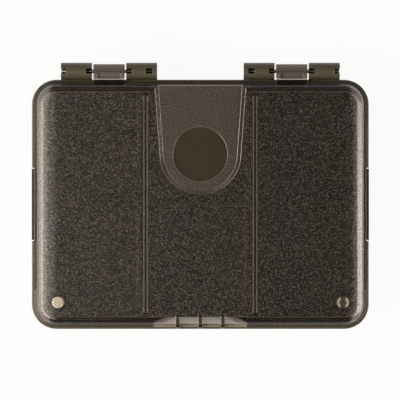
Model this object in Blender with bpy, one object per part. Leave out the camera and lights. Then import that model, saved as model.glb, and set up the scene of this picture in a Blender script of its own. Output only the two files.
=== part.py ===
"""Compact six-compartment tackle box in translucent plastic, closed.

Two mouldings, a base tray and a lid, turn on two steel pins along the back edge. Two pairs of disc
magnets in the front corners hold the lid shut.

The origin is the middle of the underside. +X runs along the box, +Y to the hinges and +Z up.
All lengths are in metres. An inset is a distance in from the outline of the base's rim. The lid starts
at the base's height.
"""

import math

import bmesh
import bpy

# Overall size
rim_length = 0.1050
rim_width = 0.0777
rim_corner_radius = 0.0077
base_height = 0.0175
lid_height = 0.0065

# Clearances
fit_gap = 0.0003
overrun = 0.0020

# Base tray
wall_thickness = 0.0017
wall_draft = 0.0005
bottom_edge_radius = 0.0020
floor_thickness = 0.0016
rim_thickness = 0.0016
rim_edge_radius = 0.0003
lip_thickness = 0.0008
lip_height = 0.0015
divider_end_gap = 0.0012

# Compartments
divider_offset = 0.0170
divider_thickness = 0.0014
divider_headroom = 0.0006
cross_divider_drop = 0.0005
cross_divider_thickness = 0.0010
compartment_draft = 0.0002
compartment_corner_radius = 0.0034
compartment_floor_radius = 0.0029

# Lid shell
lid_inset = 0.0007
lid_flange_reach = 0.0010
lid_flange_height = 0.0011
lid_wall = 0.0012
shoulder_radius = 0.0021
panel_depth = 0.0002
panel_step_width = 0.0002

# Recessed tongue between the hinges
tongue_end_radius = 0.0114
tongue_reach = 0.02325
tongue_taper = math.radians(4.1)
tongue_depth = 0.0010
tongue_slope_width = 0.0012
disc_radius = 0.00845
disc_depth = 0.0004

# Thumb scoop in the lid's front edge
scoop_top_half_width = 0.0065
scoop_corner_width = 0.0082
scoop_sill = 0.0005
scoop_rise = 0.00015
scoop_foot_inset = 0.0015
scoop_head_inset = 0.0040
fin_spacing = 0.0070
fin_width = 0.00125
fin_front_inset = 0.0002
fin_back_inset = 0.0046
fin_sink = 0.0005

# Side tabs of the lid
tab_length = 0.0222
tab_thickness = 0.0017
tab_drop = 0.0050
tab_corner_radius = 0.0022

# Hinges
hinge_end_inset = 0.0091
knuckle_length = 0.0096
centre_knuckle_length = 0.0097
knuckle_gap = 0.0005
knuckle_radius = 0.00265
centre_knuckle_radius = 0.0022
pin_radius = 0.0006
pin_end_inset = 0.0002
gusset_drop = 0.0072
window_width = 0.0017
end_window_length = 0.0016
gap_window_length = 0.0018
closed_window_length = 0.0020
closed_window_inset = 0.0014
web_pocket_length = 0.0071
web_pocket_width = 0.0018
web_pocket_inset = 0.0006
web_pocket_floor = 0.0009
web_pocket_corner = 0.0005

# Magnets
magnet_end_inset = 0.0083
magnet_front_inset = 0.00845
magnet_radius = 0.00185
magnet_height = 0.0020
magnet_cover = 0.0008
magnet_recess = 0.0002
magnet_wall = 0.0009

# Facets
corner_segments = 10
shoulder_segments = 6
fillet_segments = 5
barrel_segments = 32
disc_segments = 56
tongue_segments = 40
scoop_segments = 10
tab_segments = 5
sharp_angle = math.radians(30)

# Places that follow from the sizes above
half_length = rim_length / 2
half_width = rim_width / 2
box_height = base_height + lid_height
lid_wall_inset = lid_inset + lid_flange_reach
lid_bottom = base_height + fit_gap
lid_flange_top = lid_bottom + lid_flange_height
lid_cavity_inset = lid_wall_inset + lid_wall
shoulder_start = box_height - shoulder_radius
panel_inset = lid_wall_inset + shoulder_radius
panel_top = box_height - panel_depth
cavity_top = panel_top - lid_wall
lip_outer_inset = lid_cavity_inset + fit_gap
lip_inner_inset = lip_outer_inset + lip_thickness
lip_top = base_height + lip_height
wall_outer_inset = lip_inner_inset - wall_thickness
rim_bottom = base_height - rim_thickness
divider_top = cavity_top - divider_headroom
divider_end_inset = lip_inner_inset + divider_end_gap
cross_divider_height = base_height - cross_divider_drop
hinge_axis_y = half_width + knuckle_radius
hinge_axis_z = base_height
bore_radius = pin_radius + fit_gap
hinge_half_length = knuckle_length + knuckle_gap + centre_knuckle_length / 2
hinge_offset = half_length - hinge_end_inset - hinge_half_length
magnet_x = half_length - magnet_end_inset
magnet_y = magnet_front_inset - half_width
magnet_pocket_radius = magnet_radius + fit_gap
magnet_boss_radius = magnet_pocket_radius + magnet_wall
lid_pocket_top = panel_top - magnet_cover
lid_magnet_top = lid_pocket_top - fit_gap
lid_magnet_bottom = lid_magnet_top - magnet_height
lid_boss_bottom = lid_magnet_bottom - magnet_recess
post_top = lid_boss_bottom - fit_gap
base_magnet_top = post_top - magnet_recess
base_magnet_bottom = base_magnet_top - magnet_height
tongue_floor = panel_top - tongue_depth
tongue_end_y = half_width - tongue_reach
scoop_foot_height = lid_flange_top + scoop_sill


def clear_scene():
    """Remove every object that the file starts with."""
    for item in list(bpy.data.objects):
        bpy.data.objects.remove(item, do_unlink=True)


def plastic(name, colour, roughness):
    """A moulded plastic."""
    material = bpy.data.materials.new(name)
    material.use_nodes = True
    shader = material.node_tree.nodes["Principled BSDF"]
    shader.inputs["Base Color"].default_value = (*colour, 1)
    shader.inputs["Roughness"].default_value = roughness
    return material


def metal(name, colour, roughness):
    """A bright metal."""
    material = plastic(name, colour, roughness)
    material.node_tree.nodes["Principled BSDF"].inputs["Metallic"].default_value = 1
    return material


def shade(mesh):
    """Smooth the round surfaces, and keep an edge sharp where the faces turn."""
    mesh.shade_smooth()
    mesh.set_sharp_from_angle(angle=sharp_angle)


def object_from(name, mesh_data, material=None):
    """Link a finished bmesh to the scene as an object whose faces point outwards."""
    bmesh.ops.recalc_face_normals(mesh_data, faces=mesh_data.faces)
    mesh = bpy.data.meshes.new(name)
    mesh_data.to_mesh(mesh)
    mesh_data.free()
    shade(mesh)
    made = bpy.data.objects.new(name, mesh)
    bpy.context.scene.collection.objects.link(made)
    if material:
        mesh.materials.append(material)
    return made


def helper(made):
    """Mark an object as a tool of the modelling, which isn't a piece of the box."""
    made.hide_render = True
    made.display_type = "WIRE"
    return made


def boolean(target, tool, operation):
    """Join a helper to the target, or cut it away. The helper then belongs to the target."""
    step = target.modifiers.new(f"{operation} {tool.name}", "BOOLEAN")
    step.operation = operation
    step.solver = "EXACT"
    step.object = helper(tool)
    tool.parent = target


def cut(target, *tools):
    """Cut each helper from the target."""
    for tool in tools:
        boolean(target, tool, "DIFFERENCE")


def join(target, *tools):
    """Join each helper to the target."""
    for tool in tools:
        boolean(target, tool, "UNION")


def settle(target):
    """Turn the target's steps into its own mesh, and clear away the helpers."""
    bpy.context.view_layer.update()
    graph = bpy.context.evaluated_depsgraph_get()
    mesh = bpy.data.meshes.new_from_object(target.evaluated_get(graph))
    target.modifiers.clear()
    target.data = mesh
    shade(mesh)
    for tool in target.children_recursive:
        bpy.data.objects.remove(tool, do_unlink=True)


def rounded_rectangle(x_low, x_high, y_low, y_high, radius):
    """Points of a rectangle with round corners, anticlockwise from the +X side."""
    corners = [
        (x_high - radius, y_low + radius, -math.pi / 2),
        (x_high - radius, y_high - radius, 0),
        (x_low + radius, y_high - radius, math.pi / 2),
        (x_low + radius, y_low + radius, math.pi),
    ]
    points = []
    for x, y, start in corners:
        for step in range(corner_segments + 1):
            angle = start + math.pi / 2 * step / corner_segments
            points.append((x + radius * math.cos(angle), y + radius * math.sin(angle)))
    return points


def rim_outline(inset):
    """The rim's outline drawn in by an inset."""
    x = half_length - inset
    y = half_width - inset
    return rounded_rectangle(-x, x, -y, y, rim_corner_radius - inset)


def loft(name, sections, material=None):
    """A closed solid through level outlines of equal point count, each given as (points, z)."""
    mesh_data = bmesh.new()
    rings = []
    for points, z in sections:
        rings.append([mesh_data.verts.new((x, y, z)) for x, y in points])
    count = len(rings[0])
    for lower, upper in zip(rings, rings[1:]):
        for index in range(count):
            following = (index + 1) % count
            mesh_data.faces.new((lower[index], lower[following], upper[following], upper[index]))
    mesh_data.faces.new(list(reversed(rings[0])))
    mesh_data.faces.new(rings[-1])
    return object_from(name, mesh_data, material)


def prism(name, ends, material=None):
    """A closed solid between two outlines in space with equal point counts."""
    mesh_data = bmesh.new()
    first, last = [[mesh_data.verts.new(point) for point in outline] for outline in ends]
    count = len(first)
    for index in range(count):
        following = (index + 1) % count
        mesh_data.faces.new((first[index], first[following], last[following], last[index]))
    mesh_data.faces.new(list(reversed(first)))
    mesh_data.faces.new(last)
    return object_from(name, mesh_data, material)


def prism_along_x(name, profile, x_low, x_high):
    """A profile in Y and Z, drawn out along X."""
    return prism(name, [[(x, y, z) for y, z in profile] for x in (x_low, x_high)])


def block(name, x_range, y_range, z_range):
    """A plain block between two opposite corners, given as ranges in any order."""
    x_low, x_high = sorted(x_range)
    y_low, y_high = sorted(y_range)
    corners = [(x_low, y_low), (x_high, y_low), (x_high, y_high), (x_low, y_high)]
    return loft(name, [(corners, z) for z in sorted(z_range)])


def circle(x, y, radius, segments):
    """Points of a circle."""
    turns = [2 * math.pi * step / segments for step in range(segments)]
    return [(x + radius * math.cos(turn), y + radius * math.sin(turn)) for turn in turns]


def arc(y, z, radius, start, end, segments):
    """Points of an arc in the YZ plane, in degrees from +Y towards +Z."""
    points = []
    for step in range(segments + 1):
        angle = math.radians(start + (end - start) * step / segments)
        points.append((y + radius * math.cos(angle), z + radius * math.sin(angle)))
    return points


def upright_cylinder(name, x, y, radius, z_low, z_high, material=None):
    """A round bar that stands on end."""
    outline = circle(x, y, radius, disc_segments)
    return loft(name, [(outline, z_low), (outline, z_high)], material)


def hinge_rod(name, radius, x_ends, material=None):
    """A round bar on the hinge axis."""
    x_low, x_high = sorted(x_ends)
    outline = circle(hinge_axis_y, hinge_axis_z, radius, barrel_segments)
    ends = [[(x, y, z) for y, z in outline] for x in (x_low, x_high)]
    return prism(name, ends, material)


def hinge_stations(side):
    """X of the hinge's parts, from its far end to its end near the middle of the box."""
    far_end = side * (hinge_offset + hinge_half_length)
    far_inner = far_end - side * knuckle_length
    centre_far = far_inner - side * knuckle_gap
    centre_near = centre_far - side * centre_knuckle_length
    near_inner = centre_near - side * knuckle_gap
    near_end = near_inner - side * knuckle_length
    return far_end, far_inner, centre_far, centre_near, near_inner, near_end


def base_block(material):
    """The base's outer form, full inside up to the top of the dividers."""
    foot_inset = wall_outer_inset + wall_draft
    sections = []
    for step in range(fillet_segments + 1):
        angle = math.pi / 2 * step / fillet_segments
        inset = foot_inset + bottom_edge_radius * (1 - math.sin(angle))
        sections.append((rim_outline(inset), bottom_edge_radius * (1 - math.cos(angle))))
    sections += [
        (rim_outline(wall_outer_inset), rim_bottom),
        (rim_outline(rim_edge_radius), rim_bottom),
        (rim_outline(0), rim_bottom + rim_edge_radius),
        (rim_outline(0), base_height - rim_edge_radius),
        (rim_outline(rim_edge_radius), base_height),
        (rim_outline(lip_outer_inset), base_height),
        (rim_outline(lip_outer_inset), lip_top - rim_edge_radius),
        (rim_outline(lip_outer_inset + rim_edge_radius), lip_top),
        (rim_outline(divider_end_inset), lip_top),
        (rim_outline(divider_end_inset), divider_top),
    ]
    return loft("base_tray", sections, material)


def cross_wall():
    """The cross dividers with the round feet that they have on the floor."""
    half = cross_divider_thickness / 2
    foot = half + compartment_floor_radius
    foot_z = floor_thickness + compartment_floor_radius
    front = arc(-foot, foot_z, compartment_floor_radius, -90, 0, fillet_segments)
    crown = arc(0, cross_divider_height - half, half, 180, 0, fillet_segments)
    back = arc(foot, foot_z, compartment_floor_radius, 180, 270, fillet_segments)
    under = [(foot, 0), (-foot, 0)]
    return prism_along_x("cross_wall", front + crown + back + under, -half_length, half_length)


def corner_post(side):
    """The square post with one round corner that carries a magnet in a front corner."""
    radius = magnet_boss_radius
    x = side * magnet_x
    x_low, x_high = sorted((x - side * radius, side * half_length))
    y_low = -half_width
    outline = rounded_rectangle(x_low, x_high, y_low, magnet_y + radius, radius)
    return loft(f"corner_post_{side}", [(outline, 0), (outline, post_top)])


def column_cutter(name, x_low, x_high):
    """One column of compartments: drafted walls, and a floor with a round edge."""
    y = half_width - lip_inner_inset
    radius = compartment_corner_radius
    top = divider_top + overrun

    def outline(inset):
        return rounded_rectangle(x_low + inset, x_high - inset, inset - y, y - inset, radius - inset)

    sections = [(outline(0), top)]
    for step in range(fillet_segments + 1):
        angle = math.pi / 2 * step / fillet_segments
        inset = compartment_draft + compartment_floor_radius * (1 - math.cos(angle))
        z = floor_thickness + compartment_floor_radius * (1 - math.sin(angle))
        sections.append((outline(inset), z))
    return loft(name, list(reversed(sections)))


def cut_compartments(tray):
    """Hollow the three columns, and leave the cross dividers and the corner posts standing."""
    inner = half_length - lip_inner_inset
    near = divider_offset - divider_thickness / 2
    far = divider_offset + divider_thickness / 2
    wall = cross_wall()
    left = column_cutter("left_column", -inner, -far)
    middle = column_cutter("middle_column", -near, near)
    right = column_cutter("right_column", far, inner)
    for column in (left, middle, right):
        cut(column, wall)
    cut(left, corner_post(-1))
    cut(right, corner_post(1))
    cut(tray, left, middle, right)


def outer_knuckle(name, x_low, x_high):
    """A base knuckle: a barrel on a bracket that runs down into the back wall."""
    root_y = half_width - wall_outer_inset - wall_thickness / 2
    bracket_top = base_height - rim_edge_radius
    front = math.degrees(math.asin(rim_edge_radius / knuckle_radius))
    barrel = arc(hinge_axis_y, hinge_axis_z, knuckle_radius, 180 + front, -90, barrel_segments)
    profile = barrel + [(root_y, base_height - gusset_drop), (root_y, bracket_top)]
    return prism_along_x(name, profile, x_low, x_high)


def knuckle_windows(side):
    """The openings in the base knuckles' crowns through which the pin shows."""
    far_end, far_inner, _, _, near_inner, near_end = hinge_stations(side)
    closed_end = near_end + side * closed_window_inset
    runs = {
        "far_end_window": (far_end + side * overrun, far_end - side * end_window_length),
        "far_gap_window": (far_inner + side * gap_window_length, far_inner - side * knuckle_gap / 2),
        "near_gap_window": (near_inner + side * knuckle_gap / 2, near_inner - side * gap_window_length),
        "closed_window": (closed_end, closed_end + side * closed_window_length),
    }
    y_range = (hinge_axis_y - window_width / 2, hinge_axis_y + window_width / 2)
    z_range = (hinge_axis_z, hinge_axis_z + knuckle_radius + overrun)
    return [block(f"{name}_{side}", x_range, y_range, z_range) for name, x_range in runs.items()]


def base_hinge(tray, side):
    """Two outer knuckles with their bore and windows."""
    far_end, far_inner, _, _, near_inner, near_end = hinge_stations(side)
    join(tray, outer_knuckle(f"far_knuckle_{side}", far_inner, far_end))
    join(tray, outer_knuckle(f"near_knuckle_{side}", near_end, near_inner))
    bore_ends = (near_end + side * closed_window_inset, far_end + side * overrun)
    cut(tray, hinge_rod(f"base_bore_{side}", bore_radius, bore_ends))
    cut(tray, *knuckle_windows(side))


def tab_notch(side):
    """The break in the rim that a side tab of the lid hangs through."""
    inner_x = half_length - tab_thickness - fit_gap
    y = tab_length / 2 + fit_gap
    x_range = (side * inner_x, side * (half_length + overrun))
    z_range = (rim_bottom - fit_gap, base_height + overrun)
    return block(f"tab_notch_{side}", x_range, (-y, y), z_range)


def base_magnet_pocket(side):
    """The pocket in the top of a corner post."""
    bottom = base_magnet_bottom - fit_gap
    x = side * magnet_x
    name = f"base_pocket_{side}"
    return upright_cylinder(name, x, magnet_y, magnet_pocket_radius, bottom, post_top + overrun)


def base_tray():
    """The whole base moulding."""
    tray = base_block(plastic("olive_tray_plastic", (0.105, 0.088, 0.058), 0.32))
    cut_compartments(tray)
    for side in (-1, 1):
        base_hinge(tray, side)
        cut(tray, tab_notch(side), base_magnet_pocket(side))
    settle(tray)
    return tray


def lid_shell(material):
    """The lid's outer form: flange, wall, round shoulder and sunken panel."""
    sections = [
        (rim_outline(lid_inset), lid_bottom),
        (rim_outline(lid_inset), lid_flange_top - rim_edge_radius),
        (rim_outline(lid_inset + rim_edge_radius), lid_flange_top),
        (rim_outline(lid_wall_inset), lid_flange_top),
    ]
    for step in range(shoulder_segments + 1):
        angle = math.pi / 2 * step / shoulder_segments
        inset = panel_inset - shoulder_radius * math.cos(angle)
        sections.append((rim_outline(inset), shoulder_start + shoulder_radius * math.sin(angle)))
    sections.append((rim_outline(panel_inset + panel_step_width), panel_top))
    return loft("lid", sections, material)


def scoop_inset(z):
    """How far in from the rim's outline the scoop's ramp lies at a height."""
    run = scoop_head_inset - scoop_foot_inset
    return scoop_foot_inset + run * (z - scoop_foot_height) / (box_height - scoop_foot_height)


def scoop_cutter(name, grow):
    """The thumb scoop: an arched outline from the front, closed behind by a sloping ramp.

    A grown scoop keeps the lid's wall even behind it.
    """
    rise = box_height + scoop_rise - scoop_foot_height
    run = scoop_head_inset - scoop_foot_inset
    ramp_shift = grow * math.hypot(run, rise) / rise
    half = []
    for step in range(scoop_segments + 1):
        angle = math.pi / 2 * step / scoop_segments
        x = scoop_top_half_width + (scoop_corner_width + grow) * math.cos(angle)
        half.append((x, scoop_foot_height + (rise + grow) * math.sin(angle)))
    if grow:
        half.insert(0, (half[0][0], scoop_foot_height - grow))
    profile = [(-x, z) for x, z in half] + list(reversed(half))
    front = [(x, -half_width - overrun, z) for x, z in profile]
    ramp = [(x, scoop_inset(z) + ramp_shift - half_width, z) for x, z in profile]
    return prism(name, [front, ramp])


def scoop_fin(index):
    """One fin that stands in the scoop and keeps the line of the shoulder."""
    front_y = fin_front_inset - half_width
    crown_y = front_y + shoulder_radius
    back_y = fin_back_inset - half_width
    foot_z = lid_bottom + fit_gap
    shoulder = arc(crown_y, shoulder_start, shoulder_radius, 180, 90, shoulder_segments)
    root = [
        (back_y, box_height),
        (back_y + fin_sink, panel_top - fin_sink),
        (scoop_foot_inset + fin_sink - half_width, scoop_foot_height),
        (lid_wall_inset + fin_sink - half_width, foot_z),
    ]
    profile = [(front_y, foot_z)] + shoulder + root
    x = index * fin_spacing
    return prism_along_x(f"scoop_fin_{index}", profile, x - fin_width / 2, x + fin_width / 2)


def tongue_outline(radius):
    """The tongue from above: a round end, and sides that spread towards the back edge."""
    back_y = half_width + overrun
    points = []
    for step in range(tongue_segments + 1):
        share = step / tongue_segments
        angle = -tongue_taper - (math.pi - 2 * tongue_taper) * share
        points.append((radius * math.cos(angle), tongue_end_y + radius * math.sin(angle)))
    tangent_x, tangent_y = points[0]
    back_x = tangent_x + (back_y - tangent_y) * math.tan(tongue_taper)
    return [(back_x, back_y)] + points + [(-back_x, back_y)]


def tongue_cutter(name, grow):
    """The recess that the tongue is, with sloping sides. A grown one keeps the wall even below it."""
    rise = overrun + panel_depth
    top_radius = tongue_end_radius + grow + tongue_slope_width * (tongue_depth + rise) / tongue_depth
    bottom = tongue_outline(tongue_end_radius + grow)
    top = tongue_outline(top_radius)
    return loft(name, [(bottom, tongue_floor - grow), (top, panel_top + rise - grow)])


def tab_form(side):
    """A side tab: a plate with round lower corners that hangs from the lid's flange."""
    radius = tab_corner_radius
    y = tab_length / 2
    bottom = base_height - tab_drop
    front = arc(radius - y, bottom + radius, radius, 180, 270, tab_segments)
    back = arc(y - radius, bottom + radius, radius, 270, 360, tab_segments)
    top = lid_flange_top - rim_edge_radius
    profile = [(-y, top)] + front + back + [(y, top)]
    x_low, x_high = sorted((side * half_length, side * (half_length - tab_thickness)))
    return prism_along_x(f"tab_form_{side}", profile, x_low, x_high)


def centre_knuckle(side):
    """The lid's knuckle: a barrel on a web that reaches back from the lid's wall."""
    _, _, centre_far, centre_near, _, _ = hinge_stations(side)
    radius = centre_knuckle_radius
    root_y = half_width - lid_wall_inset - lid_wall / 2
    under = math.degrees(math.asin((lid_bottom - hinge_axis_z) / radius))
    barrel = arc(hinge_axis_y, hinge_axis_z, radius, 180 - under, 450, barrel_segments)
    profile = [(root_y, lid_bottom)] + barrel + [(root_y, hinge_axis_z + radius)]
    x_low, x_high = sorted((centre_far, centre_near))
    return prism_along_x(f"centre_knuckle_{side}", profile, x_low, x_high)


def web_pocket(side):
    """The framed pocket in the top of a centre knuckle's web."""
    x = side * hinge_offset
    y_high = hinge_axis_y - web_pocket_inset
    half = web_pocket_length / 2
    corner = web_pocket_corner
    outline = rounded_rectangle(x - half, x + half, y_high - web_pocket_width, y_high, corner)
    bottom = lid_bottom + web_pocket_floor
    return loft(f"web_pocket_{side}", [(outline, bottom), (outline, bottom + overrun)])


def lid_cavity():
    """The lid's hollow, kept clear of the scoop, the tongue and the magnet bosses by one wall."""
    radius = shoulder_radius - lid_wall
    spring = cavity_top - radius
    sections = [(rim_outline(lid_cavity_inset), lid_bottom - overrun)]
    for step in range(shoulder_segments + 1):
        angle = math.pi / 2 * step / shoulder_segments
        inset = lid_cavity_inset + radius * (1 - math.cos(angle))
        sections.append((rim_outline(inset), spring + radius * math.sin(angle)))
    cavity = loft("lid_cavity", sections)
    cut(cavity, scoop_cutter("grown_scoop", lid_wall), tongue_cutter("grown_tongue", lid_wall))
    for side in (-1, 1):
        x = side * magnet_x
        name = f"magnet_boss_{side}"
        top = cavity_top + overrun
        cut(cavity, upright_cylinder(name, x, magnet_y, magnet_boss_radius, lid_boss_bottom, top))
    return cavity


def lid():
    """The whole lid moulding."""
    shell = lid_shell(plastic("smoke_lid_plastic", (0.060, 0.052, 0.042), 0.38))
    for side in (-1, 1):
        join(shell, tab_form(side), centre_knuckle(side))
    cut(shell, lid_cavity(), scoop_cutter("scoop", 0), tongue_cutter("tongue", 0))
    disc_bottom = tongue_floor - disc_depth
    disc = upright_cylinder("disc", 0, tongue_end_y, disc_radius, disc_bottom, box_height + overrun)
    cut(shell, disc)
    for index in (-1, 0, 1):
        join(shell, scoop_fin(index))
    for side in (-1, 1):
        _, _, centre_far, centre_near, _, _ = hinge_stations(side)
        bore_ends = (centre_far + side * knuckle_gap / 2, centre_near - side * knuckle_gap / 2)
        cut(shell, web_pocket(side), hinge_rod(f"lid_bore_{side}", bore_radius, bore_ends))
        x = side * magnet_x
        name = f"lid_pocket_{side}"
        bottom = lid_boss_bottom - overrun
        cut(shell, upright_cylinder(name, x, magnet_y, magnet_pocket_radius, bottom, lid_pocket_top))
    settle(shell)
    return shell


def hinge_pins():
    """One steel pin in each hinge, from its far end into the closed window."""
    steel = metal("bright_steel", (0.62, 0.60, 0.57), 0.25)
    for side, word in ((-1, "left"), (1, "right")):
        far_end, _, _, _, _, near_end = hinge_stations(side)
        x_far = far_end - side * pin_end_inset
        x_near = near_end + side * (closed_window_inset + fit_gap)
        hinge_rod(f"hinge_pin_{word}", pin_radius, (x_far, x_near), steel)


def magnets(piece, z_low, z_high):
    """A disc magnet in each front corner, between two heights."""
    nickel = metal(f"{piece}_nickel_plate", (0.70, 0.66, 0.58), 0.18)
    made = []
    for side, word in ((-1, "left"), (1, "right")):
        name = f"{piece}_{word}"
        made.append(upright_cylinder(name, side * magnet_x, magnet_y, magnet_radius, z_low, z_high, nickel))
    return made


def hang_on_hinge(pieces):
    """Carry the lid and what is in it on an empty that lies on the hinge axis."""
    axis = bpy.data.objects.new("lid_hinge_axis", None)
    axis.location = (0, hinge_axis_y, hinge_axis_z)
    bpy.context.scene.collection.objects.link(axis)
    bpy.context.view_layer.update()
    for piece in pieces:
        piece.parent = axis
        piece.matrix_parent_inverse = axis.matrix_world.inverted()


def main():
    """Build the closed box."""
    clear_scene()
    base_tray()
    hinge_pins()
    magnets("base_magnet", base_magnet_bottom, base_magnet_top)
    moving = [lid()] + magnets("lid_magnet", lid_magnet_bottom, lid_magnet_top)
    hang_on_hinge(moving)


main()
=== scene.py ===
"""Looks of a compact tackle box in smoke-brown and olive translucent plastic, seen from above.

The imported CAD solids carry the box's shape. This script gives each of them its plastic or metal, puts
finer turned pieces in place of the pins and the magnets, and lights the box as a small studio does.
Lengths are in metres, but the mouldings and the finishes count in millimetres of the box at rest.
"""

import logging
import math
from dataclasses import dataclass
from enum import Enum

import bmesh
import bpy
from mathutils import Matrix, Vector


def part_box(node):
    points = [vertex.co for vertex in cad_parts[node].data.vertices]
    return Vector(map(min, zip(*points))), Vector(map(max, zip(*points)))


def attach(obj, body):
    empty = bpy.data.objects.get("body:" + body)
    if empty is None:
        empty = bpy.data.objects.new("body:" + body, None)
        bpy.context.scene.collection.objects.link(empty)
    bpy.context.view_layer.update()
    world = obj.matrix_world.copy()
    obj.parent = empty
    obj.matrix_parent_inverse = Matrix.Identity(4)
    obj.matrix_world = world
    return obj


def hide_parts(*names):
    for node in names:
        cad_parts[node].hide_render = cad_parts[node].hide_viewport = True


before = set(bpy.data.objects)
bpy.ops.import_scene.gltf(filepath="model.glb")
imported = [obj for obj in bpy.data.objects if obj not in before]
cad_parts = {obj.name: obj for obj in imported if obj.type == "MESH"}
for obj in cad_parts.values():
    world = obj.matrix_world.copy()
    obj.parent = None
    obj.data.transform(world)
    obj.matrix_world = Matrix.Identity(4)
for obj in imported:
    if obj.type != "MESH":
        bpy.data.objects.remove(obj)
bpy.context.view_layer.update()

log = logging.getLogger("tackle_box")

MILLIMETRE = 0.001


class Side(Enum):
    """The two halves of the box."""

    LEFT = "left"
    RIGHT = "right"


class Body(Enum):
    """The two bodies that the hinge joins."""

    BASE = "base"
    LID = "lid"


class Axis(Enum):
    """The way that a round piece's axis runs, by its number in a vector."""

    LYING = 0
    STANDING = 2


def linear(code: str) -> tuple[float, float, float, float]:
    """Turn a colour as a screen shows it into the linear one that a shader takes.

    Args:
        code: The sRGB colour as six hex digits after a hash sign.

    Returns:
        Red, green, blue and alpha, each from 0 to 1.
    """
    parts = [int(code[start : start + 2], 16) / 255 for start in (1, 3, 5)]
    red, green, blue = [
        part / 12.92 if part <= 0.04045 else ((part + 0.055) / 1.055) ** 2.4 for part in parts
    ]
    return red, green, blue, 1.0


class Graph:
    """The node graph of one material or of the world, wired as it is built."""

    def __init__(self, owner: bpy.types.Material | bpy.types.World) -> None:
        """Start with an empty graph.

        Args:
            owner: The new material or world.
        """
        self.owner = owner
        owner.use_nodes = True
        self.tree = owner.node_tree
        self.tree.nodes.clear()

    def add(
        self,
        kind: str,
        inputs: dict[int | str, object] | None = None,
        out: int | str = 0,
        **settings: object,
    ) -> "Value":
        """Add a node.

        Args:
            kind: The node's type without its ShaderNode prefix.
            inputs: Plain values or Values for its sockets, by socket name or number.
            out: The output socket that is wanted.
            **settings: The node's own properties.

        Returns:
            The wanted output.
        """
        node = self.tree.nodes.new("ShaderNode" + kind)
        for name, value in settings.items():
            setattr(node, name, value)
        for key, value in (inputs or {}).items():
            if isinstance(value, Value):
                self.tree.links.new(value.socket, node.inputs[key])
            else:
                node.inputs[key].default_value = value
        return Value(self, node.outputs[out])

    def finish(
        self, shader: "Value", inside: "Value | None" = None
    ) -> bpy.types.Material | bpy.types.World:
        """Join the shaders to the output.

        Args:
            shader: The shader that the surface takes.
            inside: The shader of the plastic's inside, for a see-through material.

        Returns:
            The finished material or world.
        """
        kind = "World" if isinstance(self.owner, bpy.types.World) else "Material"
        node = self.tree.nodes.new("ShaderNodeOutput" + kind)
        self.tree.links.new(shader.socket, node.inputs["Surface"])
        if inside:
            self.tree.links.new(inside.socket, node.inputs["Volume"])
        return self.owner

    def place(self) -> tuple["Value", "Value", "Value"]:
        """Find the shaded point.

        Returns:
            Its X, Y and Z in millimetres of the box at rest.
        """
        point = self.add("TexCoord", out="Object")
        scaled = self.add("VectorMath", {0: point, "Scale": 1 / MILLIMETRE}, operation="SCALE")
        return tuple(self.add("SeparateXYZ", {0: scaled}, out=number) for number in range(3))

    def facing(self) -> tuple["Value", "Value", "Value"]:
        """Find the way that the surface faces outward on the box at rest.

        Returns:
            Its X, Y and Z.
        """
        normal = self.add("TexCoord", out="Normal")
        # This normal turns over where a ray meets the surface from inside.
        turn_back = self.add("NewGeometry", out="Backfacing").cut(2.0)
        facing = self.add("VectorMath", {0: normal, "Scale": turn_back}, operation="SCALE")
        return tuple(self.add("SeparateXYZ", {0: facing}, out=number) for number in range(3))


class Value:
    """A number in a graph, which takes part in sums as a plain number does."""

    def __init__(self, graph: Graph, socket: bpy.types.NodeSocket) -> None:
        """Hold an output socket of a graph."""
        self.graph = graph
        self.socket = socket

    def math(self, operation: str, *others: "Value | float") -> "Value":
        """Put the number through one step of arithmetic.

        Args:
            operation: Blender's name of the step.
            *others: The step's further numbers.

        Returns:
            The result.
        """
        inputs = dict(enumerate([self, *others]))
        return self.graph.add("Math", inputs, operation=operation)

    def __add__(self, other: "Value | float") -> "Value":
        """Add."""
        return self.math("ADD", other)

    def __sub__(self, other: "Value | float") -> "Value":
        """Subtract."""
        return self.math("SUBTRACT", other)

    def __mul__(self, other: "Value | float") -> "Value":
        """Multiply."""
        return self.math("MULTIPLY", other)

    def __abs__(self) -> "Value":
        """Drop the sign."""
        return self.math("ABSOLUTE")

    def ramp(self, low: float, high: float, start: float = 0.0, end: float = 1.0) -> "Value":
        """Turn smoothly from one number to another.

        Args:
            low: Where the turn starts.
            high: Where it ends.
            start: The result at and before low.
            end: The result at and past high.

        Returns:
            The result.
        """
        inputs = {"Value": self, "From Min": low, "From Max": high, "To Min": start, "To Max": end}
        return self.graph.add("MapRange", inputs, interpolation_type="SMOOTHSTEP")

    def past(self, edge: float, blur: float) -> "Value":
        """0 before an edge and 1 past it, turning over the width of the blur."""
        return self.ramp(edge - blur / 2, edge + blur / 2)

    def before(self, edge: float, blur: float) -> "Value":
        """1 before an edge and 0 past it, turning over the width of the blur."""
        return self.ramp(edge - blur / 2, edge + blur / 2, 1.0, 0.0)

    def near(self, centre: float, reach: float, blur: float) -> "Value":
        """1 within a reach of a centre, and 0 past it, with a soft edge."""
        return abs(self - centre).before(reach, blur)

    def most(self, other: "Value | float") -> "Value":
        """The larger of it and another number."""
        return self.math("MAXIMUM", other)

    def least(self, other: "Value | float") -> "Value":
        """The smaller of it and another number."""
        return self.math("MINIMUM", other)

    def cut(self, share: float) -> "Value":
        """1, less a share of it."""
        return self * -share + 1.0


def distance(first: Value, second: Value) -> Value:
    """The length of a vector in the plane."""
    return (first * first + second * second).math("SQRT")


def weighed(parts: list[tuple[Value, float]]) -> Value:
    """Add up masks by weight.

    Args:
        parts: Pairs of a mask and its weight.

    Returns:
        The sum.
    """
    total, *others = [mask * weight for mask, weight in parts]
    for other in others:
        total = total + other
    return total


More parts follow.
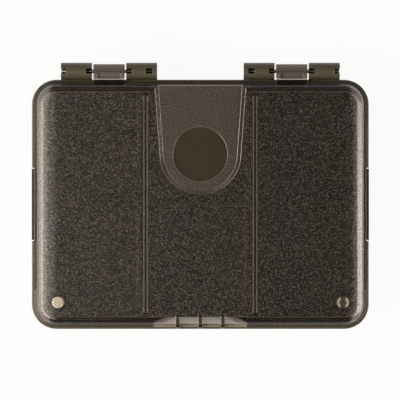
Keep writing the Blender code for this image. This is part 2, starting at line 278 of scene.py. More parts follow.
def rounded(graph: Graph, radius: Value | float) -> tuple[Value, Value]:
    """Round a moulding's edges, which are never quite sharp, for the light alone.

    Args:
        graph: The moulding's material.
        radius: The edges' radius in metres.

    Returns:
        The surface direction with its edges rounded, and how near an edge is, from 0 to 1.
    """
    turned = graph.add("Bevel", {"Radius": radius}, samples=8)
    # The rounded direction leaves the plain one only near an edge.
    plain = graph.add("NewGeometry", out="Normal")
    same = graph.add("VectorMath", {0: turned, 1: plain}, out="Value", operation="DOT_PRODUCT")
    return turned, same.ramp(0.93, 0.995, 1.0, 0.0)


def layered(graph: Graph, ground: str, coats: list[tuple[Value, str]]) -> Value:
    """Lay colours over one another.

    Args:
        graph: The material.
        ground: The colour under all others, in hex.
        coats: Pairs of a share and a colour in hex, from the lowest coat to the topmost.

    Returns:
        The colour that is seen.
    """
    seen = linear(ground)
    for share, coat in coats:
        inputs = {0: share, 6: seen, 7: linear(coat)}
        seen = graph.add("Mix", inputs, out=2, data_type="RGBA")
    return seen


@dataclass(frozen=True)
class Moulding:
    """A plastic moulding, which keeps its CAD solid and gets its plastic.

    Attributes:
        node: The CAD node's name.
        crease_degrees: The turn between two faces above which their edge stays sharp.
        weld_gap: How far apart two corners may be that are joined, in millimetres.
    """

    node: str
    crease_degrees: float = 25.0
    weld_gap: float = 0.001

    def top(self) -> float:
        """The moulding's highest Z in millimetres."""
        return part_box(self.node)[1].z / MILLIMETRE

    def dress(self, plastic: bpy.types.Material) -> bpy.types.Object:
        """Give the CAD solid its plastic, and let its round surfaces shade smoothly.

        Args:
            plastic: The plastic that it is moulded in.

        Returns:
            The CAD node's object, whose own mesh stays as it is.
        """
        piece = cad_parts[self.node]
        piece.material_slots[0].material = plastic
        modifier = piece.modifiers.new("smooth_skin", "NODES")
        modifier.node_group = self.smooth_skin()
        return piece

    def smooth_skin(self) -> bpy.types.NodeTree:
        """Join a CAD solid's loose facets, and keep the edges sharp that turn by more than a crease.

        Returns:
            The geometry nodes.
        """
        group = bpy.data.node_groups.new(f"smooth_skin_{self.node}", "GeometryNodeTree")
        for way in ("INPUT", "OUTPUT"):
            group.interface.new_socket("Geometry", in_out=way, socket_type="NodeSocketGeometry")
        start = group.nodes.new("NodeGroupInput")
        merge = group.nodes.new("GeometryNodeMergeByDistance")
        merge.inputs["Distance"].default_value = self.weld_gap * MILLIMETRE
        turn = group.nodes.new("GeometryNodeInputMeshEdgeAngle")
        sharp = group.nodes.new("FunctionNodeCompare")
        sharp.operation = "GREATER_THAN"
        sharp.inputs[1].default_value = math.radians(self.crease_degrees)
        normal = group.nodes.new("GeometryNodeSetMeshNormal")
        normal.mode = "SHARPNESS"
        normal.inputs["Remove Custom"].default_value = True
        end = group.nodes.new("NodeGroupOutput")
        links = group.links
        links.new(start.outputs[0], merge.inputs["Geometry"])
        links.new(turn.outputs["Unsigned Angle"], sharp.inputs[0])
        links.new(merge.outputs[0], normal.inputs[0])
        links.new(sharp.outputs[0], normal.inputs["Edge Sharpness"])
        links.new(normal.outputs[0], end.inputs[0])
        return group


@dataclass(frozen=True)
class Tray(Moulding):
    """The tray, with its dividers, posts and outer hinge knuckles.

    Places are in millimetres from the box's middle and its foot. The crown is the dividers' top,
    and its drop counts down from the tray's highest point.
    """

    node: str = "base_tray"
    divider_x: float = 17.0
    divider_half: float = 0.6
    crown_drop: float = 0.5
    inside_x: float = 50.25
    inside_y: float = 36.75
    inside_z: float = 1.2

    def build(self) -> bpy.types.Object:
        """Dress the tray."""
        return self.dress(OlivePlastic().build(self))


@dataclass(frozen=True)
class Lid(Moulding):
    """The lid: a sparked panel with a tongue, a rim, a thumb scoop, and a flange with side tabs.

    Places are in millimetres. A drop counts down from the lid's top, and an x or a y counts from the
    box's middle. A name with radius or half in it is a size, and the scoop's lean is the Z of the way
    that its ramp faces.
    """

    node: str = "lid"
    level_half: float = 0.08
    panel_drop: float = 0.2
    pip_x: float = 44.2
    pip_y: float = -30.4
    pip_radius: float = 2.1
    glint_radius: float = 1.85
    crescent_radius: float = 1.45
    crescent_half: float = 0.35
    boss_radius: float = 2.45
    boss_half: float = 0.5
    divider_x: float = 17.0
    divider_half: float = 0.9
    tongue_drop: float = 1.2
    tongue_x: float = 15.5
    tongue_y: float = 2.25
    tongue_rim_half: float = 0.1
    disc_drop: float = 1.6
    back_line_x: float = 15.0
    back_line_y: float = 36.9
    back_line_half: float = 0.2
    roll_x: float = 43.4
    corner_x: float = 44.8
    corner_y: float = 31.15
    ridge_x: float = 48.5
    ridge_drop: float = 0.08
    flank_drop: float = 1.1
    scoop_x: float = 14.55
    scoop_y: float = -34.75
    scoop_lean: float = 0.478
    scoop_foot_drop: float = 4.1
    fin_x: float = 7.0
    fin_half: float = 0.7
    flange_drop: float = 4.85
    hem_x: float = 49.9
    tab_x: float = 51.8
    tab_y: float = 11.4
    tab_step_half: float = 0.15
    glow_back_y: float = -26.45
    glow_front_y: float = -36.6
    knuckle_y: float = 39.25
    pin_y: float = 41.2
    pin_half: float = 0.35

    def build(self) -> bpy.types.Object:
        """Dress the lid."""
        return self.dress(SmokePlastic().build(self))


class LidMasks:
    """Where each kind of surface is on the lid, as numbers from 0 to 1 in a graph.

    Attributes:
        lid, top: The lid, and its highest Z in millimetres.
        x, y, z, out: The shaded point's place in millimetres, and its distance from the middle.
        facing_y, lean: The Y and Z of the way that the surface faces.
        sideways, back: How far a surface faces left or right, and whether it faces the hinges.
        left: The lid's left half.
        up, flat: What faces nearly straight up, and what is level.
        under, tilted, steep: What faces down, all other slopes, and walls at the left and right.
        low: All from the flange down.
        panel, tongue, disc: The sparked top, the recess in it and the round recess in that.
        pip, rubbed, boss: The flats over the magnets, the painted highlights on them, and the left
            boss's crescent.
        over_divider, back_line: The panel over the dividers, and a painted light line over the tray's
            back edge.
        ridge, fade: The crest of the left and right rim, and the panel close to it.
        flank, shine, rolled: The rim's sides, the painted reflection of a lamp there, and what is
            rolled over.
        tongue_wall, tongue_end, tongue_rims: The tongue's wall, its round end and its two edges.
        scoop, fin, scoop_painted_light: The thumb scoop's ramp, its fins, and painted light on the
            ramp.
        tab, hem, tab_step: A side tab, the flange over it and the step between the two.
        flange_top, corner_painted_glow: The flange's level top, and a painted glow on its front
            corners.
        knuckle, pin: The centre knuckles, and where the pin shows in them.
    """

    def __init__(self, graph: Graph, lid: Lid) -> None:
        """Work the masks out from the shaded point's place and slope.

        Args:
            graph: The lid's material.
            lid: The lid, which knows where its features are.
        """
        self.lid = lid
        self.top = lid.top()
        self.x, self.y, self.z = graph.place()
        self.out = abs(self.x)
        self.left = self.x.before(0.0, 2.0)
        facing_x, self.facing_y, self.lean = graph.facing()
        self.sideways = abs(facing_x)
        self.back = self.facing_y.past(0.0, 0.4)
        self.up = self.lean.ramp(0.9, 0.97)
        self.flat = self.lean.ramp(0.965, 0.99)
        self.under = self.lean.ramp(-0.6, -0.3, 1.0, 0.0)
        self.tilted = (self.flat + self.under).ramp(0.0, 1.0, 1.0, 0.0)
        self.steep = self.lean.ramp(0.1, 0.65, 1.0, 0.0) * self.sideways
        self.low = self.z.before(self.top - lid.flange_drop, 0.3)
        self.tongue = self.level(lid.tongue_drop)
        self.disc = self.level(lid.disc_drop)
        self.pip, self.panel, self.rubbed, self.boss = self.mark_panel()
        self.over_divider = self.panel * self.out.near(lid.divider_x, lid.divider_half, 0.3)
        # A painted light line where the tray's back edge shows through the tongue.
        back_edge = self.y.near(lid.back_line_y, lid.back_line_half, 0.1) * self.up
        self.back_line = back_edge * self.out.before(lid.back_line_x, 0.4)
        self.ridge, self.fade, self.flank, self.shine = self.mark_rim()
        rolled = (self.up + self.lean.ramp(0.6, 0.85)).least(1.0)
        rolled = rolled * self.z.past(self.top - lid.panel_drop - 0.075, 0.05)
        self.rolled = rolled * self.sideways.ramp(0.0, 0.5, 1.0, 0.0)
        self.tongue_wall, self.tongue_end, self.tongue_rims = self.mark_tongue_wall()
        self.scoop, self.fin = self.mark_scoop()
        # Painted light: the scoop's ramp is painted lighter towards its front edge.
        self.scoop_painted_light = self.y.ramp(lid.scoop_y - 1.75, lid.scoop_y - 0.25, 0.85, 0.15)
        self.tab, self.hem, self.tab_step, self.flange_top = self.mark_flange()
        # Painted glow: the flange's front corners are painted lighter, as if lit from inside.
        corner = self.y.before(lid.glow_back_y, 0.3) * self.low
        self.corner_painted_glow = corner * self.y.past(lid.glow_front_y, 0.4)
        self.knuckle = self.y.past(lid.knuckle_y, 0.3)
        self.pin = self.knuckle * self.y.near(lid.pin_y, lid.pin_half, 0.3)

    def level(self, drop: float) -> Value:
        """The area that faces up at a drop from the lid's top."""
        return self.z.near(self.top - drop, self.lid.level_half, 0.04) * self.up

    def mark_panel(self) -> tuple[Value, Value, Value, Value]:
        """Tell the panel from the flats over the magnets.

        Returns:
            The flats, the panel, the painted highlights on the flats and the crescent of the left boss.
        """
        lid = self.lid
        raised = self.level(lid.panel_drop)
        outward = self.out - lid.pip_x
        from_pip = distance(outward, self.y - lid.pip_y)
        pip = raised * from_pip.before(lid.pip_radius, 0.2)
        # Painted highlights: the left flat is painted pale all over, and the right one in two crescents
        # at its left and right, where the lamps are mirrored in its round edge.
        painted_highlights = from_pip.before(lid.glint_radius, 0.2) * self.left
        crescents = from_pip.near(lid.crescent_radius, lid.crescent_half, 0.2)
        crescents = crescents * abs(outward).ramp(0.5, 1.0)
        rubbed = pip * (painted_highlights + (crescents * 0.7 + 0.3) * self.left.cut(1.0))
        boss = raised * from_pip.near(lid.boss_radius, lid.boss_half, 0.3) * self.left
        return pip, raised - pip, rubbed, boss * outward.ramp(-1.6, -0.9, 1.0, 0.0)

    def mark_rim(self) -> tuple[Value, Value, Value, Value]:
        """Mark the lid's left and right rim, which follows the round corners until it fades out.

        Returns:
            The rim's crest, the panel close to it, the rim's sides and the painted reflection of a lamp
            there.
        """
        lid = self.lid
        across = (self.out - lid.corner_x).most(0.0)
        along = (abs(self.y) - lid.corner_y).most(0.0)
        reach = distance(across, along) + lid.corner_x
        curl = across.ramp(0.8, 2.6)
        verge = reach.ramp(lid.ridge_x - 0.6, lid.ridge_x - 0.15) * curl
        ridge = self.z.past(self.top - lid.ridge_drop, 0.08) * verge
        fade = self.panel * reach.ramp(lid.ridge_x - 1.6, lid.ridge_x) * curl
        flank = self.z.past(self.top - lid.flank_drop, 0.6) * self.sideways.ramp(0.1, 0.3) + ridge
        # Painted reflection: where the lamps mirror in the rim and in the panel beside it, a lighter
        # colour is painted.
        shine = flank * verge * self.z.ramp(self.top - 2.2, self.top - 0.5) + fade * 0.6
        return ridge, fade, flank, shine

    def mark_tongue_wall(self) -> tuple[Value, Value, Value]:
        """Mark the wall that runs round the tongue.

        Returns:
            The wall, its round end and the edges above and below it at the left and right.
        """
        lid = self.lid
        recess = self.y.past(lid.tongue_y, 0.5) * self.out.before(lid.tongue_x, 1.0)
        wall = recess * self.tilted * self.low.cut(1.0)
        upper = self.z.near(self.top - lid.panel_drop, lid.tongue_rim_half, 0.08)
        lower = self.z.near(self.top - lid.tongue_drop, lid.tongue_rim_half, 0.08)
        rims = (upper + lower) * wall * self.sideways.ramp(0.2, 0.6)
        return wall, wall * self.facing_y.ramp(0.1, 0.6), rims

    def mark_scoop(self) -> tuple[Value, Value]:
        """Tell the thumb scoop's ramp, with the flange at its foot, from its fins.

        Returns:
            The ramp and the fins.
        """
        lid = self.lid
        area = self.out.before(lid.scoop_x, 0.5) * self.y.before(lid.scoop_y, 0.3)
        ramp = self.lean.near(lid.scoop_lean, 0.1, 0.06) * self.sideways.ramp(0.5, 0.7, 1.0, 0.0)
        foot = self.z.before(self.top - lid.scoop_foot_drop, 0.2)
        middle = self.out.near(0.0, lid.fin_half, 0.1)
        outer = self.out.near(lid.fin_x, lid.fin_half, 0.1)
        fin = area * self.up * (middle + outer) * (self.panel + foot).least(1.0).cut(1.0)
        return area * ramp.most(foot), fin

    def mark_flange(self) -> tuple[Value, Value, Value, Value]:
        """Mark the flange and the side tabs.

        Returns:
            The tabs, the flange over them, the step between the two and the rest of the flange.
        """
        lid = self.lid
        by_tab = abs(self.y).before(lid.tab_y, 0.2) * self.low
        tab = by_tab * self.out.past(lid.tab_x, 0.2)
        hem = by_tab * self.out.past(lid.hem_x, 0.2) - tab
        step = by_tab * self.out.near(lid.tab_x, lid.tab_step_half, 0.1) * self.sideways
        return tab, hem, step, self.low * self.up * by_tab.cut(1.0)


@dataclass(frozen=True)
class Grain:
    """The lid's sparked texture in a graph.

    Attributes:
        coarse, fine: The bare noise at two scales.
        pits, specks: The pale grains on the panel and in the tongue.
    """

    coarse: Value
    fine: Value
    pits: Value
    specks: Value


@dataclass(frozen=True)
class SmokePlastic:
    """Injection-moulded smoke-brown plastic, spark-textured on its panel and polished elsewhere.

    The eye sees a dark skin that lets through what lies close under it: grainy where the mould was
    sparked, finer in the tongue, and smooth in the round recess and over the magnets. Where the light
    has to run along a wall, the plastic is nearly black. Highlights on the rim, the edges and the flats
    over the magnets, and a glow in the thumb scoop and the front corners, are painted into its colour.

    Attributes:
        body: The plastic's own colour.
        frost: The sparked skin.
        olive: The round recess, over the tray.
        pale: The painted highlights on the flats over the magnets.
        painted_reflection: A painted reflection of a lamp in the rim.
        clear: A painted glow on the scoop and the flange's front corners, as of thin plastic lit from
            behind.
        edge: The painted highlight lines along the edges.
        dye: What the light turns to inside, with its strength to the metre.
        grain_size, grain_depth, edge_radius: Sizes in millimetres.
        fine_ratio: How much finer the second grain is.
        roll_lean, ridge_lean: How far the skin leans out towards the rim, and more on its crest.
        least_skin: The share of light that even the clearest place keeps at its surface.
    """

    name: str = "smoke_plastic_injection_moulded"
    body: str = "#1d1712"
    frost: str = "#6a5f55"
    olive: str = "#4a4231"
    pale: str = "#f2e8d0"
    painted_reflection: str = "#a09b95"
    clear: str = "#a59886"
    edge: str = "#a89c88"
    dye: str = "#ad957a"
    dye_per_metre: float = 500.0
    ior: float = 1.585
    least_rough: float = 0.18
    grain_size: float = 0.38
    grain_depth: float = 0.14
    fine_ratio: float = 1.4
    edge_radius: float = 0.25
    roll_lean: float = 0.36
    ridge_lean: float = 0.185
    least_skin: float = 0.04

    def build(self, lid: Lid) -> bpy.types.Material:
        """Make the material.

        Args:
            lid: The lid, which knows where its textured and polished areas are.

        Returns:
            The material.
        """
        graph = Graph(bpy.data.materials.new(self.name))
        on = LidMasks(graph, lid)
        grain = self.spark(graph, on)
        # The flange's edges are sharper than the rest.
        turned, edge = rounded(graph, on.low.cut(0.7) * (self.edge_radius * MILLIMETRE))
        # Painted highlights: the edges and the tongue's two rims are painted lighter, as light caught
        # in their rounding.
        edge = (edge * on.low.ramp(0.0, 1.0, 0.7, 0.12)).most(on.tongue_rims)
        roughness = weighed(
            [
                (on.panel, 0.14),
                (grain.pits, 0.1),
                (on.tongue, 0.22),
                (on.knuckle, 0.2),
                (on.low * on.tilted, 0.4),
            ]
        )
        shader = graph.add(
            "BsdfPrincipled",
            {
                "Base Color": self.colour(graph, on, grain, edge),
                "Roughness": roughness + self.least_rough,
                "IOR": self.ior,
                "Specular IOR Level": 1.0,
                "Alpha": self.skin(on, grain, edge),
                "Normal": self.roll(graph, on, grain, turned),
            },
        )
        dye = graph.add(
            "VolumeAbsorption", {"Color": linear(self.dye), "Density": self.dye_per_metre}
        )
        return graph.finish(shader, dye)

    def spark(self, graph: Graph, on: LidMasks) -> Grain:
        """Texture the panel and, finer, the tongue.

        A sparked surface is finer than this in life, and is drawn as coarse as it needs to show.

        Args:
            graph: The material.
            on: The lid's masks.

        Returns:
            The texture.
        """
        point = graph.add("TexCoord", out="Object")
        scale = 1 / (self.grain_size * MILLIMETRE)
        coarse = graph.add("TexNoise", {"Vector": point, "Scale": scale, "Detail": 2.0})
        finer = scale * self.fine_ratio
        fine = graph.add("TexNoise", {"Vector": point, "Scale": finer, "Detail": 2.0})
        calm = (on.over_divider * 0.3).most(on.boss).cut(1.0)
        pits = coarse.ramp(0.48, 0.6) * on.panel * calm
        return Grain(coarse, fine, pits, fine.ramp(0.42, 0.58) * on.tongue)

    def colour(self, graph: Graph, on: LidMasks, grain: Grain, edge: Value) -> Value:
        """The skin's colour.

        Args:
            graph: The material.
            on: The lid's masks.
            grain: The sparked texture.
            edge: How near an edge is.

        Returns:
            The colour.
        """
        frosted = weighed(
            [
                (grain.pits, 0.24),
                (on.panel, 0.12),
                (grain.specks, 0.55),
                (on.tongue, 0.22),
                (on.tongue_end, 0.4),
                (on.tilted, 0.1),
                (on.tilted * on.back, 0.35),
                (on.fin, 0.5),
                (on.flange_top, 0.9),
                (on.tab + on.hem, 0.35),
                (on.knuckle, 1.0),
            ]
        )
        coats = [
            (frosted.least(1.0), self.frost),
            # Painted reflection of the lamps on the rim, broken by the grain.
            (on.shine * grain.fine.ramp(0.38, 0.62, 0.1, 0.72), self.painted_reflection),
            # Painted glow on the scoop and on the flange's front corners.
            (on.scoop * on.scoop_painted_light + on.corner_painted_glow * 0.6, self.clear),
            # Painted highlight lines on the edges and across the tongue's back.
            (edge + on.back_line * 0.5, self.edge),
            # Painted highlights on the flats over the magnets, mottled by the grain.
            (on.rubbed * grain.fine.ramp(0.42, 0.58, 0.4, 1.0), self.pale),
            (on.disc, self.olive),
        ]
        return layered(graph, self.body, coats)

    def roll(self, graph: Graph, on: LidMasks, grain: Grain, turned: Value) -> Value:
        """The way the surface faces, with its grain, and with its long sides rolled softly over.

        Args:
            graph: The material.
            on: The lid's masks.
            grain: The sparked texture.
            turned: The surface direction with its edges rounded.

        Returns:
            The surface direction.
        """
        height = grain.coarse * (on.panel + on.flank * 0.3) + grain.fine * on.tongue * 0.5
        depth = self.grain_depth * MILLIMETRE
        bumpy = graph.add(
            "Bump", {"Height": height, "Distance": depth, "Strength": 1.0, "Normal": turned}
        )
        ridge_x = on.lid.ridge_x
        slope = on.out.ramp(on.lid.roll_x, ridge_x) * self.roll_lean
        slope = slope + on.out.ramp(ridge_x - 0.2, ridge_x) * self.ridge_lean
        tilt = graph.add("CombineXYZ", {0: slope * on.rolled * on.x.math("SIGN")})
        tilted = graph.add("VectorMath", {0: bumpy, 1: tilt}, operation="ADD")
        return graph.add("VectorMath", {0: tilted}, operation="NORMALIZE")

    def skin(self, on: LidMasks, grain: Grain, edge: Value) -> Value:
        """The share of the light that stays at the surface, and doesn't pass into the plastic.

        Args:
            on: The lid's masks.
            grain: The sparked texture.
            edge: How near an edge is.

        Returns:
            The share, from 0 to 1.
        """
        shoulder = on.tilted * on.sideways.ramp(0.0, 0.3, 0.4, 1.0) * on.low.cut(0.6)
        top = weighed(
            [
                (on.flat, 0.3),
                (on.panel, -0.02),
                (grain.pits, 0.49),
                (on.tongue, 0.14),
                (grain.specks, 0.42),
                (on.disc, 0.4),
                (on.ridge, 0.45),
                (on.fade, 0.3),
                (on.fin, 0.45),
                (on.boss, 0.1),
                (on.back_line, 0.3),
                (on.over_divider, -0.14),
                (on.pip, -0.28),
            ]
        )
        share = (shoulder + top) * on.tongue_wall.cut(0.6) + on.flange_top * 0.5
        details = weighed(
            [
                (on.under, 0.12),
                (edge, 0.3),
                (on.rubbed, 0.8),
                (on.tongue_end, 0.35),
                (on.tongue_rims, 0.6),
                (on.knuckle, 0.42),
                (on.pin, -0.25),
            ]
        )
        milky = (on.scoop + on.tab + on.hem) * on.tab_step.cut(0.9)
        milky = milky.most(on.corner_painted_glow * 0.5) * 0.92
        return (share * on.steep.cut(0.7) + details).most(milky).most(self.least_skin).least(1.0)


@dataclass(frozen=True)
class OlivePlastic:
    """Injection-moulded olive plastic with a satin skin.

    The eye sees a lighter, yellower plastic than the lid's. Inside the box it is painted darker, as
    painted shade, and its thin edges are painted lighter, as painted highlights, most of all on top of
    the dividers. The plastic's flow leaves broad patches of slightly more and less gloss.
    """

    name: str = "olive_plastic_injection_moulded"
    body: str = "#605c4b"
    # The colours of the painted shade inside the box, and of the painted highlights on edges and
    # divider tops.
    painted_inside_shade: str = "#38332a"
    edge: str = "#fff8e2"
    ior: float = 1.49
    least_rough: float = 0.24
    most_rough: float = 0.32
    clear_share: float = 0.12
    edge_radius: float = 0.3
    edge_glow: float = 0.08
    flow_size: float = 16.67

    def build(self, tray: Tray) -> bpy.types.Material:
        """Make the material.

        Args:
            tray: The tray, which knows where its dividers and its inside are.

        Returns:
            The material.
        """
        graph = Graph(bpy.data.materials.new(self.name))
        x, y, z = graph.place()
        point = graph.add("TexCoord", out="Object")
        scale = 1 / (self.flow_size * MILLIMETRE)
        flow = graph.add("TexNoise", {"Vector": point, "Scale": scale, "Detail": 2.0})
        turned, edge = rounded(graph, self.edge_radius * MILLIMETRE)
        crown = z.past(tray.top() - tray.crown_drop, 0.4)
        # Painted highlights: two lines of light along each divider's top, where its rounding catches
        # the lamps.
        rubbed = crown * abs(abs(x) - tray.divider_x).near(tray.divider_half, 0.25, 0.2)
        # Painted shade: the inside of the box is painted darker.
        inside = abs(x).before(tray.inside_x, 0.5) * abs(y).before(tray.inside_y, 0.5)
        inside = inside * z.past(tray.inside_z, 0.4)
        # The other edges are painted slightly lighter too, as painted highlights.
        painted_highlights = (edge * crown.cut(1.0) * self.edge_glow).most(rubbed)
        shader = graph.add(
            "BsdfPrincipled",
            {
                "Base Color": layered(graph, self.body, [(inside, self.painted_inside_shade), (painted_highlights, self.edge)]),
                "Roughness": flow.ramp(0.3, 0.7, self.least_rough, self.most_rough),
                "IOR": self.ior,
                "Transmission Weight": (painted_highlights + inside).ramp(0.0, 1.0, self.clear_share, 0.0),
                "Normal": turned,
            },
        )
        return graph.finish(shader)


@dataclass(frozen=True)
class DrawnSteel:
    """Cold-drawn steel wire, bright, with fine lines that the die leaves along it.

    The lines are finer than this in life, and are drawn coarser so that a close view shows them.
    """

    name: str = "steel_wire_cold_drawn"
    body: str = "#c9c5bd"
    least_rough: float = 0.16
    most_rough: float = 0.32
    line_length: float = 4.167
    line_gap: float = 1 / 12

    def build(self) -> bpy.types.Material:
        """Make the material.

        Returns:
            The material.
        """
        graph = Graph(bpy.data.materials.new(self.name))
        x, y, z = graph.place()
        across = 1 / self.line_gap
        line = graph.add("CombineXYZ", {0: x * (1 / self.line_length), 1: y * across, 2: z * across})
        grain = graph.add("TexNoise", {"Vector": line, "Scale": 1.0, "Detail": 2.0})
        shader = graph.add(
            "BsdfPrincipled",
            {
                "Base Color": linear(self.body),
                "Metallic": 1.0,
                "Roughness": grain.ramp(0.3, 0.7, self.least_rough, self.most_rough),
            },
        )
        return graph.finish(shader)


@dataclass(frozen=True)
class NickelPlate:
    """Barrel-plated nickel on a sintered magnet: a warm mirror, mottled where the plate is thin."""

    name: str = "nickel_barrel_plated"
    body: str = "#d8cdb6"
    dull: str = "#a39a86"
    least_rough: float = 0.2
    most_rough: float = 0.4
    mottle_size: float = 0.7143
    mottle_depth: float = 0.05
    mottle_strength: float = 0.3

    def build(self) -> bpy.types.Material:
        """Make the material.

        Returns:
            The material.
        """
        graph = Graph(bpy.data.materials.new(self.name))
        point = graph.add("TexCoord", out="Object")
        scale = 1 / (self.mottle_size * MILLIMETRE)
        mottle = graph.add("TexNoise", {"Vector": point, "Scale": scale, "Detail": 3.0})
        depth = self.mottle_depth * MILLIMETRE
        normal = graph.add(
            "Bump", {"Height": mottle, "Distance": depth, "Strength": self.mottle_strength}
        )
        shader = graph.add(
            "BsdfPrincipled",
            {
                "Base Color": layered(graph, self.dull, [(mottle.ramp(0.35, 0.65), self.body)]),
                "Metallic": 1.0,
                "Roughness": mottle.ramp(0.3, 0.7, self.least_rough, self.most_rough),
                "Normal": normal,
            },
        )
        return graph.finish(shader)


@dataclass(frozen=True)
class Turned:
    """A round metal piece with round edges, turned about an axis, in place of a CAD cylinder.

    Attributes:
        node: The CAD node that it stands for, which gives its size and place.
        body: The body that it rides on.
        axis: The axis that it is turned about.
        edge_radius: The radius of its edges.
        slot: The name of the piece's material slot; not used.
        segments: The flats that make up its round side.
        edge_steps: The steps that round each edge.
        crease_degrees: The turn between two faces above which their edge stays sharp.
    """

    node: str
    body: Body
    axis: Axis
    edge_radius: float
    slot: str
    segments: int = 64
    edge_steps: int = 4
    crease_degrees: float = 50.0

    def build(self, metal: bpy.types.Material) -> bpy.types.Object:
        """Make the piece and put it in its CAD node's place.

        Args:
            metal: The piece's material.

        Returns:
            The piece.
        """
        mesh = self.turn()
        mesh.materials.append(metal)
        piece = bpy.data.objects.new(f"{self.node}_turned", mesh)
        bpy.context.scene.collection.objects.link(piece)
        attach(piece, self.body.value)
        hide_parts(self.node)
        return piece

    def outline(self, half: float, radius: float) -> list[tuple[float, float]]:
        """Draw a cylinder with round edges.

        Args:
            half: Half the cylinder's length.
            radius: Its radius.

        Returns:
            Pairs of place along the axis and radius, from the lower end to the upper.
        """
        upper = []
        for step in range(self.edge_steps + 1):
            turn = math.pi / 2 * step / self.edge_steps
            along = half - self.edge_radius * (1 - math.sin(turn))
            upper.append((along, radius - self.edge_radius * (1 - math.cos(turn))))
        return [(-along, across) for along, across in reversed(upper)] + upper

    def turn(self) -> bpy.types.Mesh:
        """Turn the outline about the axis, where the CAD node is.

        Returns:
            The mesh.
        """
        low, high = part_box(self.node)
        half = (high - low) / 2
        shape = bmesh.new()
        rings = []
        for along, radius in self.outline(half[self.axis.value], half.y):
            ring = []
            for step in range(self.segments):
                turn = math.tau * step / self.segments
                across = (radius * math.cos(turn), radius * math.sin(turn))
                offset = (along, *across) if self.axis is Axis.LYING else (*across, along)
                ring.append(shape.verts.new((low + high) / 2 + Vector(offset)))
            rings.append(ring)
        for lower, upper in zip(rings, rings[1:]):
            for index in range(self.segments):
                after = (index + 1) % self.segments
                shape.faces.new((lower[index], lower[after], upper[after], upper[index]))
        shape.faces.new(list(reversed(rings[0])))
        shape.faces.new(rings[-1])
        bmesh.ops.recalc_face_normals(shape, faces=shape.faces)
        mesh = bpy.data.meshes.new(f"{self.node}_turned")
        shape.to_mesh(mesh)
        shape.free()
        mesh.shade_smooth()
        mesh.set_sharp_from_angle(angle=math.radians(self.crease_degrees))
        return mesh


@dataclass(frozen=True)
class Fittings:
    """The steel pins and the nickel-plated disc magnets, with the radii of their edges.

    The left magnets' plate is tumbled matt. The right ones are bright, and rounder at the edge.
    """

    pin_edge: float = 0.00012
    left_magnet_edge: float = 0.00022
    right_magnet_edge: float = 0.00055

    def build(self) -> list[bpy.types.Object]:
        """Make the two pins and the four magnets.

        Returns:
            The pieces.
        """
        steel = DrawnSteel().build()
        bright = NickelPlate().build()
        matt = NickelPlate(
            name="nickel_plate_tumbled_matt",
            body="#fbf2e0",
            dull="#cfc2a8",
            least_rough=0.85,
            most_rough=0.95,
        ).build()
        pieces = []
        for side, plate, edge in (
            (Side.LEFT, matt, self.left_magnet_edge),
            (Side.RIGHT, bright, self.right_magnet_edge),
        ):
            node = f"hinge_pin_{side.value}"
            pin = Turned(node, Body.BASE, Axis.LYING, self.pin_edge, "pin_steel")
            pieces.append(pin.build(steel))
            for body in Body:
                node = f"{body.value}_magnet_{side.value}"
                magnet = Turned(node, body, Axis.STANDING, edge, "magnet_nickel")
                pieces.append(magnet.build(plate))
        return pieces


@dataclass(frozen=True)
class Softbox:
    """A rectangular soft light that faces the box.

    Attributes:
        name: The light's name.
        place: Its centre.
        size: Its width and height.
        watts: Its power.
        colour: The colour of its light.
    """

    name: str
    place: tuple[float, float, float]
    size: tuple[float, float]
    watts: float
    colour: str = "#fff3e6"

    def build(self, target: Vector) -> None:
        """Hang the light.

        Args:
            target: The point that it faces.
        """
        data = bpy.data.lights.new(self.name, "AREA")
        data.shape = "RECTANGLE"
        data.size, data.size_y = self.size
        data.energy = self.watts
        data.color = linear(self.colour)[:3]
        light = bpy.data.objects.new(self.name, data)
        light.location = self.place
        aim = target - Vector(self.place)
        light.rotation_euler = aim.to_track_quat("-Z", "Y").to_euler()
        bpy.context.scene.collection.objects.link(light)


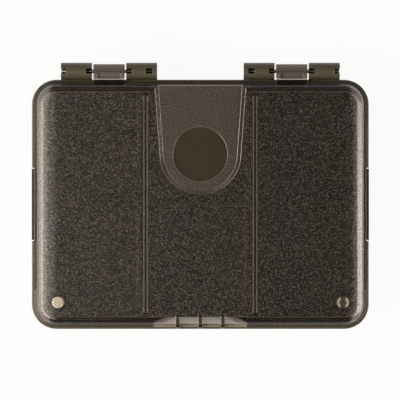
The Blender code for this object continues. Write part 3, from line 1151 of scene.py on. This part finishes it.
@dataclass(frozen=True)
class Studio:
    """Floor, light and camera, as for a product photograph on white.

    Attributes:
        white, paper: The colours of the background and of the floor's paper.
        paper_glow: The share of white that the camera sees over the paper and its shadow.
        floor_size: The floor's width.
        room_level: The brightness of the room above the lamps.
        horizon_full, horizon_end: How steeply a ray rises where the bright horizon begins to fade
            into the room, and where it is gone.
        rim_height: The height of the box's rim, at which the lamps and the lens are aimed.
        view_x, view_y, view_height: The camera's place.
        view_width: What the camera takes in at the rim.
        sensor_width: The width of the camera's sensor in millimetres.
        softboxes: The lamps.
    """

    white: str = "#ffffff"
    paper: str = "#f3f3f3"
    paper_glow: float = 0.94
    floor_size: float = 3.0
    room_level: float = 0.08
    horizon_full: float = 0.02
    horizon_end: float = 0.25
    rim_height: float = 0.0175
    view_x: float = -0.00011
    view_y: float = 0.00135
    view_height: float = 1.0
    view_width: float = 0.1247
    sensor_width: float = 36.0
    softboxes: tuple[Softbox, ...] = (
        Softbox("left_softbox", (-0.31, -0.09, 0.33), (0.40, 0.38), 2.35),
        Softbox("right_softbox", (0.48, -0.10, 0.20), (0.34, 0.27), 1.6),
    )

    def build(self) -> None:
        """Set up everything round the box."""
        self.world()
        self.floor()
        for softbox in self.softboxes:
            softbox.build(Vector((0, 0, self.rim_height)))
        self.camera()

    def world(self) -> None:
        """White to the camera, a dim even light on the box, and a bright horizon for gloss and glass.

        Above the lamps the room is dim, as it is over a product table.
        """
        graph = Graph(bpy.data.worlds.new("studio_world"))
        way = graph.add("TexCoord", out="Generated")
        height = graph.add("SeparateXYZ", {0: way}, out=2)
        glossy = graph.add("LightPath", out="Is Glossy Ray")
        through = graph.add("LightPath", out="Is Transmission Ray")
        horizon = height.ramp(self.horizon_full, self.horizon_end, 1.0, 0.0)
        mirrored = (glossy + through) * horizon
        seen = graph.add("LightPath", out="Is Camera Ray").most(mirrored)
        strength = seen * (1.0 - self.room_level) + self.room_level
        light = graph.add("Background", {"Color": linear(self.white), "Strength": strength})
        bpy.context.scene.world = graph.finish(light)

    def floor(self) -> None:
        """A plain pale floor, which still takes the box's shadow."""
        shape = bmesh.new()
        bmesh.ops.create_grid(shape, x_segments=1, y_segments=1, size=self.floor_size / 2)
        mesh = bpy.data.meshes.new("floor")
        shape.to_mesh(mesh)
        shape.free()
        floor = bpy.data.objects.new("floor", mesh)
        bpy.context.scene.collection.objects.link(floor)
        graph = Graph(bpy.data.materials.new("paper_white_matt"))
        paper = graph.add("BsdfDiffuse", {"Color": linear(self.paper)})
        glow = graph.add("Emission", {"Color": linear(self.white), "Strength": 1.0})
        seen = graph.add("LightPath", out="Is Camera Ray")
        for kind in ("Is Glossy Ray", "Is Transmission Ray"):
            seen = seen.most(graph.add("LightPath", out=kind))
        mixed = graph.add("MixShader", {0: seen * self.paper_glow, 1: paper, 2: glow})
        mesh.materials.append(graph.finish(mixed))

    def camera(self) -> None:
        """A long lens straight above the box, square to it."""
        data = bpy.data.cameras.new("camera")
        data.sensor_width = self.sensor_width
        reach = self.view_height - self.rim_height
        data.lens = self.sensor_width * reach / self.view_width
        camera = bpy.data.objects.new("camera", data)
        camera.location = (self.view_x, self.view_y, self.view_height)
        bpy.context.scene.collection.objects.link(camera)
        bpy.context.scene.camera = camera


def main() -> None:
    """Dress the box, report its pieces and set up the studio."""
    logging.basicConfig(level=logging.INFO, format="%(message)s")
    bpy.context.scene.view_settings.view_transform = "Standard"
    for piece in (Tray().build(), Lid().build(), *Fittings().build()):
        log.info("%s in %s", piece.name, piece.material_slots[0].material.name)
    Studio().build()


if __name__ == "__main__":
    main()
